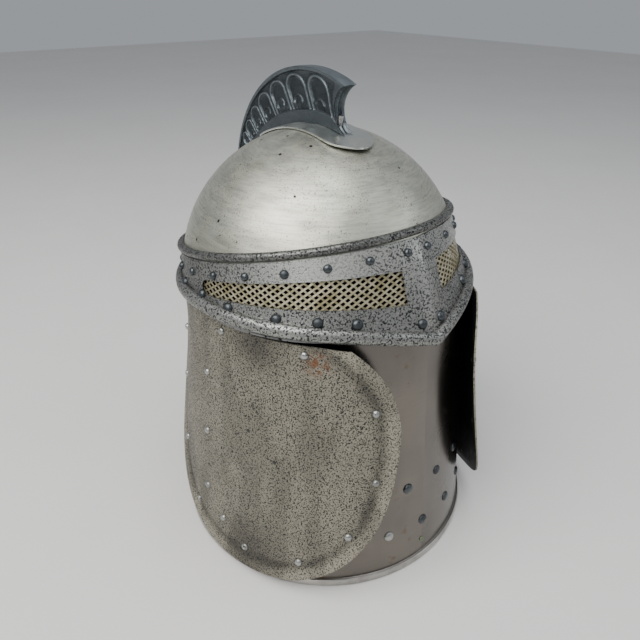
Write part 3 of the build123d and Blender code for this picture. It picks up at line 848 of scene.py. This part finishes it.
def crest_place(part, rise):
    """Y and Z of the comb's side; part runs from the front to the tail and rise from foot to crown."""
    (oy, oz), (iy, iz) = crest_outer(part), crest_inner(part)
    y, z = iy + (oy - iy) * rise, iz + (oz - iz) * rise
    (fy, fz), (ay, az), (by, bz) = front(rise), crest_inner(0), crest_outer(0)
    pull = max(0.0, 1 - part / 0.16) ** 2
    return y + (fy - ay - (by - ay) * rise) * pull, z + (fz - az - (bz - az) * rise) * pull


LOOPS = []
reach = 15.0
for number in range(7):
    wide = 12.5 - 1.35 * number
    LOOPS.append((reach + wide, wide))
    reach += 2 * wide + 0.6


def arch(along, high, radius, tall):
    """Distance to an upright arch of that half-width whose shoulders are at height tall."""
    if high > tall:
        return abs(hypot(along, high - tall) - radius), hypot(along, high - tall) < radius
    return abs(abs(along) - radius), abs(along) < radius


def relief(along, high, room):
    """Depth of the ornament on the sunk panel: a row of arches, each with a smaller one and pits."""
    value = 0.0
    for centre, wide in LOOPS:
        gap = along - centre - 0.10 * high
        if abs(gap) > wide + 2:
            continue
        tall = room - wide * 1.12
        ring = wide * 0.86
        far, within = arch(gap, high, ring, tall)
        value += 1.1 * exp(-(far / (0.075 * wide + 0.25)) ** 2)
        if within and far > 0.6:
            value -= 0.9 * smooth(0.6, 2.4, far) * smooth(room * 0.16, room * 0.3, high)
        small, inner_ring = ring * 0.48, tall - wide * 0.85
        far, within = arch(gap - ring * 0.22, high, small, inner_ring)
        value += 1.1 * exp(-(far / (0.06 * wide + 0.2)) ** 2) * smooth(room * 0.10, room * 0.2, high)
        if within:
            value -= 0.5 * smooth(0.3, 1.2, far)
        for dx, dz, size in ((0.16, 0.30, 0.15), (-0.52, 0.10, 0.12), (0.62, 0.04, 0.11)):
            spot = hypot(gap - ring * dx, high - inner_ring + ring * (0.9 - dz))
            value -= 1.3 * exp(-(spot / (size * wide + 0.15)) ** 2)
    return value


def crest_half(part, rise):
    """Half thickness of the comb and how worn its surface is there."""
    (oy, oz), (iy, iz) = crest_outer(part), crest_inner(part)
    room = hypot(oy - iy, oz - iz)
    cap = 3.4 + 2.5 * (1 - part) ** 2.2
    web = 3.2 + 1.2 * (1 - part) ** 2
    band = min(9.0, room * 0.30)
    high = rise * room
    edge = max(1.6, 2.6 - part)
    sink = smooth(band - 0.4, band + 0.5, high) * (1 - smooth(room - edge - 0.9, room - edge, high))
    border = 5.5 + 2.5 * rise
    length = part * (crown_length + tail_length) * 0.86
    sink *= smooth(border - 1.2, border, length)
    body = web + (cap - web) * smooth(0.80, 1.0, rise)
    at_front = 4.2 + 0.8 * smooth(0.0, 0.5, rise) + 0.9 * smooth(0.5, 1.0, rise)
    body = body + (at_front - body) * (1 - smooth(0.0, 0.085, part))
    detail = relief(length, high - band, room - band - edge) * sink
    half = body - 1.7 * sink + detail * 0.8
    raised = smooth(0.45, 1.0, detail) * 0.75 + (1 - sink) * (0.30 + 0.35 * smooth(0.9, 1.0, rise))
    return max(1.2, half), raised


crest_points, crest_wear = [], []
CAP_STEPS = 13
for i in range(CREST_STEPS):
    part = i / (CREST_STEPS - 1)
    sides = []
    for k in range(CREST_ROWS):
        rise = k / (CREST_ROWS - 1)
        y, z = crest_place(part, rise)
        half, raised = crest_half(part, rise)
        sides.append((half, y, z, raised))
    half, y, z, raised = sides[-1]
    crown_row = []
    for k in range(1, CAP_STEPS):
        lean = -1 + 2 * k / CAP_STEPS
        hollow = 0.7 * (1 - lean * lean) - 0.5
        crown_row.append((half * lean, y, z + hollow, 0.85))
    row = [(-h, py, pz, w) for h, py, pz, w in sides] + crown_row
    row += [(h, py, pz, w) for h, py, pz, w in reversed(sides)]
    for x, py, pz, worn in row:
        rough = 0.10 * noise.noise(Vector((x, py, pz)) * 0.35)
        crest_points.append((x + rough, py + rough, pz))
        crest_wear.append(worn)
row_length = 2 * CREST_ROWS + CAP_STEPS - 1
crest_faces = grid_faces(CREST_STEPS, row_length)

# The front face hangs between the two front edges: hollow, with two flutes that run down it.
FRONT_COLUMNS = 25
start = len(crest_points)
for k in range(CREST_ROWS):
    rise = k / (CREST_ROWS - 1)
    y, z = crest_place(0, rise)
    half, _ = crest_half(0, rise)
    for j in range(FRONT_COLUMNS):
        lean = -1 + 2 * j / (FRONT_COLUMNS - 1)
        edge = 1 - lean**4
        flute = 0.75 * cos(lean * pi * 2.5) * edge * (1 - 0.4 * rise)
        rough = 0.10 * noise.noise(Vector((half * lean, y, z)) * 0.35)
        crest_points.append((half * lean + rough * edge, y + rough + 1.7 * edge - flute, z))
        crest_wear.append(0.15 + 0.8 * smooth(0.80, 1.0, abs(lean)) + 0.5 * max(0.0, flute))
crest_faces += [tuple(reversed(face)) for face in grid_faces(CREST_ROWS, FRONT_COLUMNS, start=start)]
crest = mesh("crest_comb", crest_points, crest_faces, 50)
layer = crest.data.attributes.new("wear_and_highlight", "FLOAT", "POINT")
layer.data.foreach_set("value", crest_wear)
weld(crest)
face_outwards(crest, lambda at: Vector((0, at.y, at.z)))
dress(crest, crest_metal, "skull", "crest_casting", "crest")

# ------------------------------------------------------------ CAD pieces that are shown as they are
KEPT_NODES = (("seat_ring", ring_metal), ("crest_screws", screw_metal), ("crest_washers", screw_metal))
for node, material in KEPT_NODES:
    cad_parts[node].data.materials.clear()
    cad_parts[node].data.materials.append(material)

# ------------------------------------------------------------ floor, light and camera
floor_paint = Paint("floor_paint", 0.0)
tone = floor_paint.mix(floor_paint.noise(3, 2), (0.70, 0.69, 0.67), (0.76, 0.75, 0.73))
floor_paint.finish(tone, floor_paint.limit(floor_paint.noise(20, 2), 0.3, 0.7, 0.55, 0.7))
FLOOR_REACH, FLOOR_LEVEL = 4000, -0.4
floor_corners = [
    (FLOOR_REACH * x, FLOOR_REACH * y, FLOOR_LEVEL) for x, y in ((-1, -1), (1, -1), (1, 1), (-1, 1))]
floor = mesh("floor", floor_corners, [(0, 1, 2, 3)])
floor.data.materials.append(floor_paint.material)

world = bpy.data.worlds.new("studio")
bpy.context.scene.world = world
world.use_nodes = True
world.node_tree.nodes["Background"].inputs[0].default_value = (0.80, 0.84, 0.90, 1)
world.node_tree.nodes["Background"].inputs[1].default_value = 0.42


def softbox(name, azimuth, elevation, distance, width, height, power, colour=(1, 1, 1)):
    light = bpy.data.lights.new(name, "AREA")
    light.shape, light.size, light.size_y = "RECTANGLE", width, height
    light.energy, light.color = power, colour
    obj = bpy.data.objects.new(name, light)
    bpy.context.scene.collection.objects.link(obj)
    aim = Vector((0, 0, 0.2))
    out = direction(azimuth) * cos(radians(elevation)) + Vector((0, 0, sin(radians(elevation))))
    obj.location = aim + out * distance
    obj.rotation_euler = out.to_track_quat("Z", "Y").to_euler()


softbox("key", -80, 50, 1.5, 1.5, 1.1, 31, (1.0, 0.99, 0.97))
softbox("fill", 40, 30, 1.9, 1.2, 1.2, 7, (0.92, 0.96, 1.0))
softbox("top", -20, 82, 1.6, 0.9, 0.9, 9)

camera_data = bpy.data.cameras.new("camera")
camera_data.sensor_width = 36
camera_data.lens = 33.75
camera_data.clip_start = 0.01
camera = bpy.data.objects.new("camera", camera_data)
bpy.context.scene.collection.objects.link(camera)
turn = Matrix.Rotation(radians(-40), 4, "Z") @ Matrix.Rotation(radians(90 - 29.78), 4, "X")
turn = turn @ Matrix.Rotation(radians(0.53), 4, "Z")
camera.matrix_world = Matrix.Translation((-0.2832, -0.3280, 0.4187)) @ turn
bpy.context.scene.camera = camera
